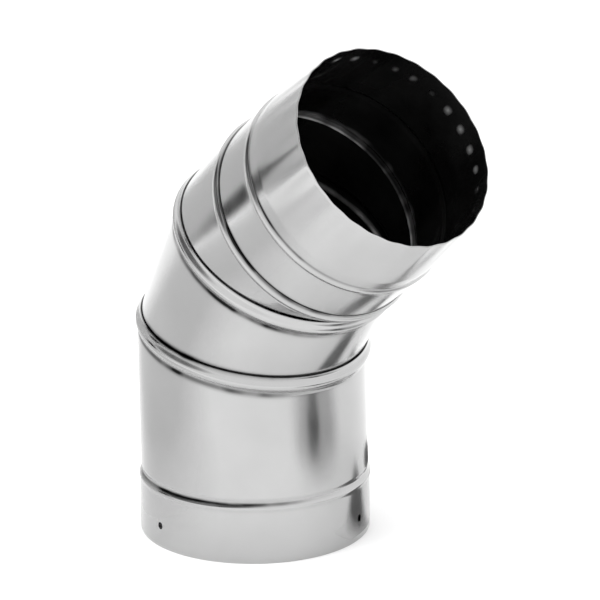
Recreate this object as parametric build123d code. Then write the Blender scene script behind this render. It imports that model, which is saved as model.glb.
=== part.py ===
from build123d import *

"""Swivelling flue elbow for 150 mm pipe: a socket section, two gores and a crimped spigot collar."""
from math import cos, pi, radians, sin
import os

# Sheet and flue sizes, in mm
WALL = 0.8                 # sheet thickness
BODY_R = 75.0              # outside radius of the plain tube
SOCKET_BORE_R = 75.0       # inside radius of the socket, for a 150 mm spigot
RUNNING_GAP = 0.4          # gap between two sheets that turn in each other

# Centre line: straight lengths and tilts from upright, with the flue fully bent
LOWER_LENGTH = 136.0
MIDDLE_LENGTH, MIDDLE_TILT = 75.0, 26.5
UPPER_LENGTH, UPPER_TILT = 137.5, 49.5
UPPER_SHIFT = 1.5          # how far the upper axis passes from the middle of its seam, to the outside
SEAM_1_TILT = 12.5         # tilts of the two swivel axes
SEAM_2_TILT = 31.5

# Swivel seam: a rolled bead with the upper sheet's bead nested in the lower sheet's
NECK_R = 75.9              # outside radius of the outer sheet beside the bead
BEAD_HALF = 6.0
BEAD_RISE = 2.4
INNER_NECK_R = NECK_R - WALL - RUNNING_GAP
LIP = 6.6                  # how far each sheet runs past the middle of the seam
NECK = 7.2                 # where a gore's neck meets its body, from the middle of the seam

# Socket end of the lower section
SOCKET_DEPTH = 35.0        # straight part of the socket
SHOULDER_TOP = 45.0        # the wall is back to body size here
SHOULDER_RIDGE = (76.3, 38.2)
SHOULDER_GROOVE = (74.3, 41.4)
SCREW_HOLE_R = 2.4
SCREW_HEIGHT = 15.0
SCREW_COUNT = 3
FIRST_SCREW_ANGLE = -96.5

# Spigot collar, depths counted down from its rim
COLLAR_LENGTH = 102.0
GORE_END_DEPTH = 93.6      # the collar goes into the upper gore below this depth
LOCK_BEAD = (97.8, 3.6, 1.3)   # depth, half width and rise of the bead that locks the lap
STOP_BEAD = (58.3, 3.6, 1.3)
CRIMP_LENGTH = 46.0
RIM_R = 70.9               # mean outside radius of the crimped rim
FLUTES = 30
FLUTE_RISE = 0.25          # height of a flute above and below the mean radius at the rim
COLLAR_R = BODY_R - WALL   # outside radius of the collar, inside the upper gore


def along(tilt):
    """Unit vector tilted from +Z towards +X."""
    return Vector(sin(radians(tilt)), 0, cos(radians(tilt)))


def tilted_plane(origin, tilt):
    """Plane across the flue, its normal tilted from +Z towards +X."""
    return Plane(origin, x_dir=along(tilt + 90), z_dir=along(tilt))


SEAM_1_POINT = along(0) * LOWER_LENGTH
SEAM_2_POINT = SEAM_1_POINT + along(MIDDLE_TILT) * MIDDLE_LENGTH
RIM_POINT = (SEAM_2_POINT + along(UPPER_TILT) * UPPER_LENGTH
             - along(UPPER_TILT + 90) * UPPER_SHIFT)
SEAM_1 = tilted_plane(SEAM_1_POINT, SEAM_1_TILT)
SEAM_2 = tilted_plane(SEAM_2_POINT, SEAM_2_TILT)
RIM = tilted_plane(RIM_POINT, UPPER_TILT)


def smooth(*points):
    """Curve through (radius, height) points that starts and ends parallel to the axis."""
    return Spline(*[(r, 0, z) for r, z in points], tangents=[(0, 0, 1), (0, 0, 1)])


def straight(*points):
    """Straight run through (radius, height) points."""
    return Polyline(*[(r, 0, z) for r, z in points])


def bead(radius, height, half, rise):
    """Rounded bead that stands out of a sheet of the given radius."""
    return smooth((radius, height - half), (radius + rise / 2, height - half / 2),
                  (radius + rise, height), (radius + rise / 2, height + half / 2),
                  (radius, height + half))


def revolved_sheet(trace):
    """One thickness of sheet; trace(inset) gives the curves of its outside, moved in by inset."""
    outside, inside = trace(0), trace(WALL)
    ends = [Line(outside[0] @ 0, inside[0] @ 0), Line(outside[-1] @ 1, inside[-1] @ 1)]
    edges = [edge for curve in [*outside, *inside, *ends] for edge in curve.edges()]
    return revolve(make_face(edges), Axis.Z)


def tube_between(lower, lower_r, upper, upper_r):
    """Sheet drawn from a circle on one plane to a circle on another; radii are of its outside."""
    outer = loft([lower * Circle(lower_r), upper * Circle(upper_r)], ruled=True)
    inner = loft([lower * Circle(lower_r - WALL), upper * Circle(upper_r - WALL)], ruled=True)
    return outer - inner


def seam_neck(radius, low, high):
    """Round neck with the seam bead, standing along its own axis from low to high."""
    def trace(inset):
        r = radius - inset
        return [straight((r, low), (r, -BEAD_HALF)), bead(r, 0, BEAD_HALF, BEAD_RISE),
                straight((r, BEAD_HALF), (r, high))]
    return revolved_sheet(trace)


def outer_neck(seam):
    """Neck of the sheet below a seam, which holds the next sheet inside it."""
    return seam.location * seam_neck(NECK_R, -NECK, LIP)


def inner_neck(seam):
    """Neck of the sheet above a seam, nested in the outer neck."""
    return seam.location * seam_neck(INNER_NECK_R, -LIP, NECK)


def screw_holes():
    """Radial drills through the socket wall."""
    drill = Pos(BODY_R, 0, SCREW_HEIGHT) * Rot(0, 90, 0) * Cylinder(SCREW_HOLE_R, 10)
    step = 360 / SCREW_COUNT
    return [Rot(0, 0, FIRST_SCREW_ANGLE + i * step) * drill for i in range(SCREW_COUNT)]


def socket():
    """Socket and its shoulder, up to the start of the plain wall."""
    def trace(inset):
        r = SOCKET_BORE_R + WALL - inset
        ridge, groove = [(x - inset, z) for x, z in (SHOULDER_RIDGE, SHOULDER_GROOVE)]
        return [straight((r, 0), (r, SOCKET_DEPTH)),
                smooth((r, SOCKET_DEPTH), ridge, groove, (BODY_R - inset, SHOULDER_TOP))]
    return revolved_sheet(trace)


def lower_section():
    wall = tube_between(Plane.XY.offset(SHOULDER_TOP), BODY_R, SEAM_1.offset(-NECK), NECK_R)
    return socket() + wall + outer_neck(SEAM_1) - screw_holes()


def middle_gore():
    wall = tube_between(SEAM_1.offset(NECK), INNER_NECK_R, SEAM_2.offset(-NECK), NECK_R)
    return inner_neck(SEAM_1) + wall + outer_neck(SEAM_2)


def beaded_tube(radius, low, beads, high):
    """Round tube on the rim's axis between two depths, with (depth, half width, rise) beads."""
    def trace(inset):
        r = radius - inset
        curves, height = [], -low
        for depth, half, rise in beads:
            curves += [straight((r, height), (r, -depth - half)), bead(r, -depth, half, rise)]
            height = half - depth
        return curves + [straight((r, height), (r, -high))]
    return RIM.location * revolved_sheet(trace)


def upper_gore():
    wall = tube_between(SEAM_2.offset(NECK), INNER_NECK_R, RIM.offset(-COLLAR_LENGTH), BODY_R)
    lap = beaded_tube(BODY_R, COLLAR_LENGTH, [LOCK_BEAD], GORE_END_DEPTH)
    return inner_neck(SEAM_2) + wall + lap


def fluted_ring(plane, radius):
    """Closed wavy outline with one flute every 360 / FLUTES degrees."""
    steps = FLUTES * 4
    waves = [(radius + FLUTE_RISE * sin(i * pi / 2), 2 * pi * i / steps) for i in range(steps)]
    outline = Spline(*[(r * cos(a), r * sin(a)) for r, a in waves], periodic=True)
    return plane * make_face(outline)


def crimp():
    """Crimped end of the collar: round at its foot, wavy and narrower at the rim."""
    foot = RIM.offset(-CRIMP_LENGTH)
    outer = loft([foot * Circle(COLLAR_R), fluted_ring(RIM, RIM_R)], ruled=True)
    inner = loft([foot * Circle(COLLAR_R - WALL), fluted_ring(RIM, RIM_R - WALL)], ruled=True)
    return outer - inner


def spigot_collar():
    return beaded_tube(COLLAR_R, COLLAR_LENGTH, [LOCK_BEAD, STOP_BEAD], CRIMP_LENGTH) + crimp()


os.makedirs("parts", exist_ok=True)
for name, make in {
    "lower_section": lower_section,
    "middle_gore": middle_gore,
    "upper_gore": upper_gore,
    "spigot_collar": spigot_collar,
}.items():
    export_step(make(), f"parts/{name}.step")
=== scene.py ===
from math import cos, pi, radians, sin

import bpy
import numpy as np
from mathutils import Matrix, Vector

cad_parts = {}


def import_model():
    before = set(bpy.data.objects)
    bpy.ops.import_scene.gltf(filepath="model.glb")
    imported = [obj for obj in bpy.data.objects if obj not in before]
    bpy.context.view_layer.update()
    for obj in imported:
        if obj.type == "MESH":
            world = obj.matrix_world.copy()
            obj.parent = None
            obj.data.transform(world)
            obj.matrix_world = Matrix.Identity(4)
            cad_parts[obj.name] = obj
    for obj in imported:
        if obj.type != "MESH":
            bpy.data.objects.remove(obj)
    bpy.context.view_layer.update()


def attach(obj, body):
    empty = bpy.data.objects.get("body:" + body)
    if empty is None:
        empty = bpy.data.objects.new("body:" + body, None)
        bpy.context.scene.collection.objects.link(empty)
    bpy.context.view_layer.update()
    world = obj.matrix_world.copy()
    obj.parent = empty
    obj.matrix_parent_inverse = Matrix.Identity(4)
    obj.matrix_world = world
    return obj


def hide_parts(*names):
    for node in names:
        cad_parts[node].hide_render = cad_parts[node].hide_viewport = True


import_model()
MM = 0.001

# Sizes of the CAD part, in mm and degrees
WALL, SEAM_GAP = 0.8, 0.4
BODY_R, SOCKET_R, NECK_R = 75.0, 75.8, 75.9
INNER_NECK_R = NECK_R - WALL - SEAM_GAP
COLLAR_R = BODY_R - WALL
LOWER_LENGTH = 136.0
MIDDLE_LENGTH, MIDDLE_TILT = 75.0, 26.5
UPPER_LENGTH, UPPER_TILT, UPPER_SHIFT = 137.5, 49.5, 1.5
SEAM_1_TILT, SEAM_2_TILT = 12.5, 31.5
SOCKET_DEPTH = 35.0
SHOULDER = [(SOCKET_DEPTH, SOCKET_R), (38.2, 76.3), (41.4, 74.3), (45.0, BODY_R)]
BEAD_HALF, BEAD_RISE = 6.0, 2.38
LIP, NECK = 6.6, 7.2       # a neck's reach past its bead's middle, to the edge and to the tube
COLLAR_LENGTH, GORE_END_DEPTH = 102.0, 93.6
LOCK_BEAD, STOP_BEAD = (-97.8, 3.6, 1.3), (-58.3, 3.6, 1.3)    # middle, half width, rise
RIM_R, CRIMP_LENGTH = 70.9, 46.0
FLUTES, FLUTE_RISE = 30, 0.25
SCREW_HOLES, SCREW_HOLE_R, SCREW_HEIGHT, FIRST_SCREW_ANGLE = 3, 2.4, 15.0, -96.5

EDGE = WALL / 2            # how far a sheet's rounded edge stands past its last full ring
AROUND = 360               # points round each sheet
ANGLES = np.linspace(0, 2 * pi, AROUND, endpoint=False)

# Camera: degrees, then metres, then mm
CAMERA_AZIMUTH, CAMERA_HEIGHT, CAMERA_ROLL = 48.53, 18.95, -0.466
CAMERA_DISTANCE, AIM_RIGHT, AIM_UP = 4.5, 0.03075, 0.156
LENS, SENSOR = 411.54, 36.0


# ---- placing rings of points on planes across the flue ----

def along(tilt):
    return np.array([sin(radians(tilt)), 0.0, cos(radians(tilt))])


class Station:
    """A plane across the flue: its middle and its tilt from +Z towards +X."""

    def __init__(self, origin, tilt):
        self.origin = np.asarray(origin, float)
        self.up, self.side = along(tilt), along(tilt + 90)

    def ring(self, radius, height=0.0):
        """Points round the axis; radius is a number or one number for each angle."""
        radius = np.broadcast_to(radius, ANGLES.shape)[:, None]
        spokes = np.cos(ANGLES)[:, None] * self.side + np.sin(ANGLES)[:, None] * [0, 1, 0]
        return self.origin + self.up * height + radius * spokes


BASE = Station((0, 0, 0), 0)
SEAM_1 = Station(along(0) * LOWER_LENGTH, SEAM_1_TILT)
SEAM_2 = Station(SEAM_1.origin + along(MIDDLE_TILT) * MIDDLE_LENGTH, SEAM_2_TILT)
RIM = Station(SEAM_2.origin + along(UPPER_TILT) * UPPER_LENGTH
              - along(UPPER_TILT + 90) * UPPER_SHIFT, UPPER_TILT)

# Marks round the flue: station, height on it in mm, half width in mm and strength; outside they are
# painted shade, inside wear with painted highlights
# painted shade: dark bands along the shoulder ring and both sides of each seam bead
PAINTED_SEAM_SHADE = [(BASE, 40.6, 1.4, 0.9), (SEAM_1, -6.4, 2.2, 1.0), (SEAM_1, 6.9, 2.1, 1.0),
         (SEAM_2, -6.2, 2.3, 1.0), (SEAM_2, 6.8, 0.9, 0.5),
         (RIM, -94.0, 1.6, 1.0), (RIM, -54.8, 1.2, 0.8)]
PAINTED_SHADE_SIDE = -78.0         # side where the painted shade is heaviest
# rub wear with painted highlights: the bright arcs at the collar's end, the lock bead and inside
# seam 2
WEAR_AND_HIGHLIGHTS = [(RIM, -96.0, 4.5, 0.72), (RIM, -100.7, 1.3, 1.0), (SEAM_2, -4.5, 1.8, 0.8)]
# painted glints, with scuffing, on the flute crests near the rim
FLUTE_WEAR_AND_GLINTS = (RIM, -15.0, 3.5, 0.7)


# ---- profiles: lists of (height, radius) ----

def bump(radius, middle, half, rise, steps=20):
    t = np.linspace(-1, 1, steps + 1)
    return [(middle + half * x, radius + rise * 0.5 * (1 + cos(pi * x))) for x in t]


def blend_curve(points, steps=28):
    """Smooth curve through (height, radius) points, level at both ends."""
    h, r = np.array(points, float).T
    slopes = np.concatenate([[0], (r[2:] - r[:-2]) / (h[2:] - h[:-2]), [0]])
    out = []
    for i in range(len(h) - 1):
        d = h[i + 1] - h[i]
        for t in np.linspace(0, 1, steps // (len(h) - 1) + 1)[(i > 0):]:
            out.append((h[i] + t * d,
                        (2 * t**3 - 3 * t**2 + 1) * r[i] + (t**3 - 2 * t**2 + t) * d * slopes[i]
                        + (3 * t**2 - 2 * t**3) * r[i + 1] + (t**3 - t**2) * d * slopes[i + 1]))
    return out


def neck(radius, low, high):
    return [(low, radius), *bump(radius, 0, BEAD_HALF, BEAD_RISE), (high, radius)]


# ---- building one sheet: outside skin, rounded edge, inside skin, rounded edge ----

def new_object(name, points, faces):
    """Mesh object through points in metres."""
    mesh = bpy.data.meshes.new(name)
    mesh.from_pydata([tuple(p) for p in points], [], faces)
    mesh.update()
    made = bpy.data.objects.new(name, mesh)
    bpy.context.scene.collection.objects.link(made)
    return made


def rounded_edge(outer, inner, outward, steps=6):
    """Rings that turn a sheet's edge over from one skin to the other."""
    middle, half = (outer + inner) / 2, (outer - inner) / 2
    depth = np.linalg.norm(half, axis=1)[:, None] * outward
    angles = np.linspace(0, pi, steps + 1)[1:-1]
    return [middle + half * cos(a) + depth * sin(a) for a in angles]


def mark(points, shade_highlight_wear, side=None):
    """How strongly each point is marked, 0 to 1; with a side, most strongly on that side."""
    strongest = np.zeros(len(points))
    for station, height, half, strength in shade_highlight_wear:
        offset = points - station.origin
        weight = strength * np.exp(-((offset @ station.up - height) / half) ** 2)
        # one-sided weighting: the painted shade is heaviest towards the given side
        if side is not None:
            turn = np.arctan2(offset[:, 1], offset @ station.side) - radians(side)
            weight = weight * (0.12 + 0.88 * np.clip(np.cos(turn), 0, 1) ** 1.5)
        strongest = np.maximum(strongest, weight)
    return strongest


def worn_and_highlit(points):
    """Wear and painted highlights on the inside: along the rings, and painted glints on the crest
    of each flute near the rim.
    """
    offset = points - RIM.origin
    turn = np.arctan2(offset[:, 1], offset @ RIM.side)
    crests = mark(points, [FLUTE_WEAR_AND_GLINTS]) * np.clip(-np.sin(turn * FLUTES), 0, 1)
    return np.maximum(mark(points, WEAR_AND_HIGHLIGHTS), crests)


def sheet(name, outer, inner, low_dir, high_dir):
    """Closed mesh of one sheet; outer and inner are rings from the low end to the high end."""
    tip_high = rounded_edge(outer[-1], inner[-1], high_dir)
    tip_low = rounded_edge(inner[0], outer[0], low_dir)
    outside, inside = [*outer, *tip_high], [*inner[::-1], *tip_low]
    rings = outside + inside
    lining = range(len(outside), len(outside) + len(inner) - 1)
    faces, slots = [], []
    for i in range(len(rings)):
        j = (i + 1) % len(rings)
        for k in range(AROUND):
            m = (k + 1) % AROUND
            faces.append((i * AROUND + k, i * AROUND + m, j * AROUND + m, j * AROUND + k))
            slots.append(1 if i in lining else 0)
    piece = new_object(name, np.concatenate(rings) * MM, faces)
    mesh = piece.data
    mesh.materials.append(STEEL)
    mesh.materials.append(LINING)
    mesh.polygons.foreach_set("use_smooth", [True] * len(faces))
    mesh.polygons.foreach_set("material_index", slots)
    # outside: painted shade along the creases; inside: wear with painted highlights
    shade_highlight_wear = np.concatenate([mark(np.concatenate(outside), PAINTED_SEAM_SHADE, PAINTED_SHADE_SIDE),
                            worn_and_highlit(np.concatenate(inside))])
    mesh.attributes.new("shade_highlight_wear", "FLOAT", "POINT").data.foreach_set("value", shade_highlight_wear)
    mesh.update()
    return piece


def lathe(station, profile):
    """Outer and inner rings of a round stretch, from (height, radius) points."""
    return ([station.ring(r, h) for h, r in profile],
            [station.ring(r - WALL, h) for h, r in profile])


def drawn(start, end, steps=24):
    """Rings on straight lines between two rings, close together near the two ends."""
    shares = (1 - np.cos(np.linspace(0, pi, steps + 1)[1:-1])) / 2
    return [start + (end - start) * t for t in shares]


def joined(*stretches):
    """Joins round stretches with straight-drawn sheet between them."""
    outer, inner = [list(s) for s in stretches[0]]
    for more_outer, more_inner in stretches[1:]:
        outer += drawn(outer[-1], more_outer[0]) + more_outer
        inner += drawn(inner[-1], more_inner[0]) + more_inner
    return outer, inner


def fluted(radius, share):
    return radius + FLUTE_RISE * share * np.sin(ANGLES * FLUTES)


def crimp():
    """Outer and inner rings of the narrowing, fluted end."""
    outer, inner = [], []
    for t in np.linspace(0, 1 - EDGE / CRIMP_LENGTH, 25):
        mean = COLLAR_R + (RIM_R - COLLAR_R) * t
        outer.append(RIM.ring(fluted(mean, t), -CRIMP_LENGTH * (1 - t)))
        inner.append(RIM.ring(fluted(mean - WALL, t), -CRIMP_LENGTH * (1 - t)))
    return outer, inner


def lower_section():
    socket = [(EDGE, SOCKET_R), (SOCKET_DEPTH - 0.5, SOCKET_R), *blend_curve(SHOULDER)]
    rings = joined(lathe(BASE, socket), lathe(SEAM_1, neck(NECK_R, -NECK, LIP - EDGE)))
    return sheet("lower_shell", *rings, -along(0), SEAM_1.up)


def middle_gore():
    rings = joined(lathe(SEAM_1, neck(INNER_NECK_R, EDGE - LIP, NECK)),
                   lathe(SEAM_2, neck(NECK_R, -NECK, LIP - EDGE)))
    return sheet("middle_shell", *rings, -SEAM_1.up, SEAM_2.up)


def upper_gore():
    lap = [(-COLLAR_LENGTH, BODY_R), *bump(BODY_R, *LOCK_BEAD), (-GORE_END_DEPTH - EDGE, BODY_R)]
    rings = joined(lathe(SEAM_2, neck(INNER_NECK_R, EDGE - LIP, NECK)), lathe(RIM, lap))
    return sheet("upper_shell", *rings, -SEAM_2.up, RIM.up)


def spigot_collar():
    plain = [(EDGE - COLLAR_LENGTH, COLLAR_R), *bump(COLLAR_R, *LOCK_BEAD),
             *[(h, COLLAR_R) for h in (-93.4, -92.6, -91.5, -90, -80, -65)],
             *bump(COLLAR_R, *STOP_BEAD), *[(h, COLLAR_R) for h in (-53, -50, -46.4)]]
    outer, inner = lathe(RIM, plain)
    tip_outer, tip_inner = crimp()
    return sheet("collar_shell", outer + tip_outer, inner + tip_inner, -RIM.up, RIM.up)


def drill_bit(angle, count=48, reach=6.0):
    """Closed cylinder across the socket wall, count points round."""
    out = Vector((cos(angle), sin(angle), 0))
    across = Vector((-sin(angle), cos(angle), 0))
    points, faces = [], []
    for end in (-1, 1):
        for k in range(count):
            a = 2 * pi * k / count
            p = (out * (BODY_R + end * reach) + across * (SCREW_HOLE_R * cos(a))
                 + Vector((0, 0, SCREW_HEIGHT + SCREW_HOLE_R * sin(a))))
            points.append(p * MM)
    for k in range(count):
        m = (k + 1) % count
        faces.append((k, m, count + m, count + k))
    faces += [tuple(range(count))[::-1], tuple(range(count, 2 * count))]
    return new_object("drill", points, faces)


def cut_screw_holes(piece):
    """Drills the screw holes through the socket wall."""
    for i in range(SCREW_HOLES):
        drill = drill_bit(radians(FIRST_SCREW_ANGLE + 360 / SCREW_HOLES * i))
        cut = piece.modifiers.new("hole", "BOOLEAN")
        cut.operation, cut.solver, cut.object = "DIFFERENCE", "EXACT", drill
        evaluated = piece.evaluated_get(bpy.context.evaluated_depsgraph_get())
        drilled = bpy.data.meshes.new_from_object(evaluated)
        piece.modifiers.clear()
        piece.data = drilled
        bpy.data.objects.remove(drill)
    piece.data.set_sharp_from_angle(angle=radians(35))


# ---- materials ----

class Nodes:
    """Small helper that adds nodes to one material."""

    def __init__(self, name):
        self.material = bpy.data.materials.new(name)
        self.material.use_nodes = True
        self.tree = self.material.node_tree
        self.shader = self.tree.nodes["Principled BSDF"]
        self.coords = self.tree.nodes.new("ShaderNodeTexCoord").outputs["Object"]

    def add(self, kind, inputs=None, **settings):
        node = self.tree.nodes.new(kind)
        for key, value in settings.items():
            setattr(node, key, value)
        for key, value in (inputs or {}).items():
            if isinstance(value, bpy.types.NodeSocket):
                self.tree.links.new(value, node.inputs[key])
            else:
                node.inputs[key].default_value = value
        return node

    def noise(self, scale, detail=3.0, rough=0.5, stretch=(1, 1, 1)):
        place = self.add("ShaderNodeMapping", {"Vector": self.coords, "Scale": stretch})
        return self.add("ShaderNodeTexNoise", {"Vector": place.outputs[0], "Scale": scale,
                                               "Detail": detail, "Roughness": rough}).outputs["Fac"]

    def ramp(self, fac, low, high, start=0.35, end=0.65):
        node = self.add("ShaderNodeMapRange", {"Value": fac, "From Min": start, "From Max": end,
                                               "To Min": low, "To Max": high})
        return node.outputs["Result"]

    # attribute holding painted shade on the outside and wear with painted highlights on the inside
    def shade_highlight_wear(self):
        return self.add("ShaderNodeAttribute", attribute_name="shade_highlight_wear").outputs["Fac"]

    def product(self, a, b):
        return self.add("ShaderNodeMath", {0: a, 1: b}, operation="MULTIPLY").outputs[0]

    def greys(self, fac, *stops):
        """Colour ramp through (place, grey) stops."""
        node = self.add("ShaderNodeValToRGB", {"Fac": fac})
        while len(node.color_ramp.elements) < len(stops):
            node.color_ramp.elements.new(0.5)
        for element, (place, grey) in zip(node.color_ramp.elements, stops):
            element.position, element.color = place, (grey, grey, grey, 1)
        return node.outputs[0]

    def link(self, output, socket):
        self.tree.links.new(output, self.shader.inputs[socket])


def bright_steel():
    """Polished sheet: cloudy tone, smears, a wavy surface, fine grain and painted shade darkening
    the creases.
    """
    n = Nodes("bright_steel")
    n.shader.inputs["Metallic"].default_value = 1.0
    seam_shade = n.shade_highlight_wear()
    # painted shade: the base colour goes nearly black along the seam and shoulder bands
    unshaded = n.ramp(n.product(seam_shade, n.ramp(n.noise(28, 3), 0.5, 1.0, 0.4, 0.6)), 1, 0, 0, 1)
    cloud = n.ramp(n.noise(14, 4), 0.85, 1.0)
    n.link(n.greys(n.product(unshaded, cloud), (0.3, 0.01), (0.82, 0.405), (1.0, 0.455)), "Base Color")
    n.link(n.ramp(n.noise(30, 5, 0.6, (1, 1, 0.35)), 0.12, 0.20), "Roughness")
    waves = n.noise(9, 2, 0.4, (1, 1, 1.6))
    grain = n.noise(900, 2, 0.5, (1, 1, 0.06))
    soft = n.add("ShaderNodeBump", {"Strength": 0.3, "Distance": 0.0012, "Height": waves})
    fine = n.add("ShaderNodeBump", {"Strength": 0.06, "Distance": 0.0001, "Height": grain,
                                    "Normal": soft.outputs[0]})
    n.link(fine.outputs[0], "Normal")
    return n.material


def dark_lining():
    """Black inside face with faint stains, polished where the next pipe and the bead rub it; the
    rubbed bands and flute crests also carry painted highlights in their base colour.
    """
    n = Nodes("dark_lining")
    n.link(n.ramp(n.noise(40, 4), 0.08, 0.16), "Roughness")
    rubbed_and_highlit = n.product(n.shade_highlight_wear(), n.ramp(n.noise(32, 2), 0.25, 1.0, 0.42, 0.6))
    tone = n.greys(n.noise(18, 5, 0.6), (0.35, 0.003), (0.7, 0.012))
    # painted highlights: rubbed bands and flute crests get a light grey base colour
    highlight_grey = n.greys(rubbed_and_highlit, (0.1, 0.0), (0.5, 0.16), (1.0, 0.85))
    both = n.add("ShaderNodeVectorMath", {0: tone, 1: highlight_grey}, operation="ADD").outputs[0]
    n.link(both, "Base Color")
    n.link(n.ramp(rubbed_and_highlit, 0.08, 0.9, 0, 1), "Specular IOR Level")
    skin = n.add("ShaderNodeBump", {"Strength": 0.15, "Distance": 0.0005, "Height": n.noise(60, 3)})
    n.link(skin.outputs[0], "Normal")
    return n.material


STEEL, LINING = bright_steel(), dark_lining()


def dress(piece, body, node):
    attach(piece, body)
    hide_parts(node)


lower = lower_section()
cut_screw_holes(lower)
dress(lower, "lower", "lower_section")
dress(middle_gore(), "middle", "middle_gore")
dress(upper_gore(), "upper", "upper_gore")
dress(spigot_collar(), "upper", "spigot_collar")


# ---- floor, light and camera ----

def square(name, half):
    corners = [(-half, -half, 0), (half, -half, 0), (half, half, 0), (-half, half, 0)]
    return new_object(name, corners, [(0, 1, 2, 3)])


def floor():
    plane = square("floor", 12.0)
    n = Nodes("floor_white")
    n.shader.inputs["Base Color"].default_value = (0.96, 0.96, 0.96, 1)
    n.shader.inputs["Roughness"].default_value = 0.9
    n.shader.inputs["Specular IOR Level"].default_value = 0.1
    plane.data.materials.append(n.material)


def area(name, place, aim, size, power):
    data = bpy.data.lights.new(name, "AREA")
    data.shape, data.size, data.size_y, data.energy = "RECTANGLE", size[0], size[1], power
    light = bpy.data.objects.new(name, data)
    light.location = place
    light.rotation_euler = (Vector(aim) - Vector(place)).to_track_quat("-Z", "Y").to_euler()
    bpy.context.scene.collection.objects.link(light)


def world(strength):
    background = bpy.data.worlds.new("studio")
    background.use_nodes = True
    shade = background.node_tree.nodes["Background"]
    shade.inputs["Color"].default_value = (1, 1, 1, 1)
    shade.inputs["Strength"].default_value = strength
    bpy.context.scene.world = background


def camera():
    """Long lens, placed by azimuth, height above the horizon and distance from a point."""
    azimuth, height = radians(CAMERA_AZIMUTH), radians(CAMERA_HEIGHT)
    right = Vector((cos(azimuth), sin(azimuth), 0))
    aim = right * AIM_RIGHT + Vector((0, 0, AIM_UP))
    back = Vector((sin(azimuth) * cos(height), -cos(azimuth) * cos(height), sin(height)))
    data = bpy.data.cameras.new("camera")
    data.sensor_width, data.lens = SENSOR, LENS
    data.clip_start, data.clip_end = 0.1, 100
    eye = bpy.data.objects.new("camera", data)
    eye.rotation_mode = "QUATERNION"
    eye.location = aim + back * CAMERA_DISTANCE
    turn = (-back).to_track_quat("-Z", "Y")
    roll = Matrix.Rotation(radians(CAMERA_ROLL), 3, "Z")
    eye.rotation_quaternion = turn @ roll.to_quaternion()
    bpy.context.scene.collection.objects.link(eye)
    bpy.context.scene.camera = eye


def card(name, middle, facing, size, grey, turn=0.0):
    """Soft-edged card seen only in the steel: it shades part of what the surface reflects."""
    piece = square(name, 1)
    piece.location = middle
    aim = (Vector(facing) - Vector(middle)).to_track_quat("Z", "Y").to_matrix()
    piece.rotation_euler = (aim @ Matrix.Rotation(radians(turn), 3, "Z")).to_euler()
    piece.scale = (size[0] / 2, size[1] / 2, 1)
    piece.visible_camera = piece.visible_diffuse = piece.visible_shadow = False
    n = Nodes(name)
    n.shader.inputs["Base Color"].default_value = (grey, grey, grey, 1)
    n.shader.inputs["Roughness"].default_value = 1.0
    n.shader.inputs["Specular IOR Level"].default_value = 0.0
    reach = n.add("ShaderNodeVectorMath", {0: n.coords}, operation="LENGTH").outputs["Value"]
    n.link(n.ramp(reach, 1, 0, 0.6, 1.0), "Alpha")
    piece.data.materials.append(n.material)


def floor_card(name, middle, size, grey, turn):
    """Card that lies on the floor as painted shade, seen only in the steel; smaller cards lie above
    larger ones.
    """
    card(name, (*middle, 0.004 - 0.002 * size[1]), (*middle, 1), size, grey, turn)


floor()
world(1.4)
area("key", (-0.6, -1.6, 2.2), (0.05, 0, 0.2), (1.6, 1.6), 27)
card("overhead_flag", (-0.35, -0.75, 1.3), (0, 0, 0), (2.7, 2.7), 0.03)
card("left_object", (-0.42, -0.35, 0.225), (0.10, -0.07, 0.28), (0.19, 0.20), 0.02)
card("left_wall", (-1.15, -0.40, 0.25), (0, 0, 0.2), (2.4, 1.0), 0.60)
# painted shadow patches on the floor, seen only in reflections; the right pair is the elbow's own
# shadow and its dark core
floor_card("shade_left", (-0.46, -0.30), (1.10, 1.00), 0.62, 0)
floor_card("shade_right", (0.350, 0.130), (0.32, 0.36), 0.42, 24)
floor_card("shadow_core_right", (0.355, 0.106), (0.21, 0.10), 0.03, 24)
floor_card("shade_behind", (-0.005, 0.160), (0.08, 0.08), 0.10, 0)
floor_card("shade_near", (0.080, 0.103), (0.05, 0.17), 0.16, -8)
camera()
bpy.context.scene.view_settings.view_transform = "Standard"
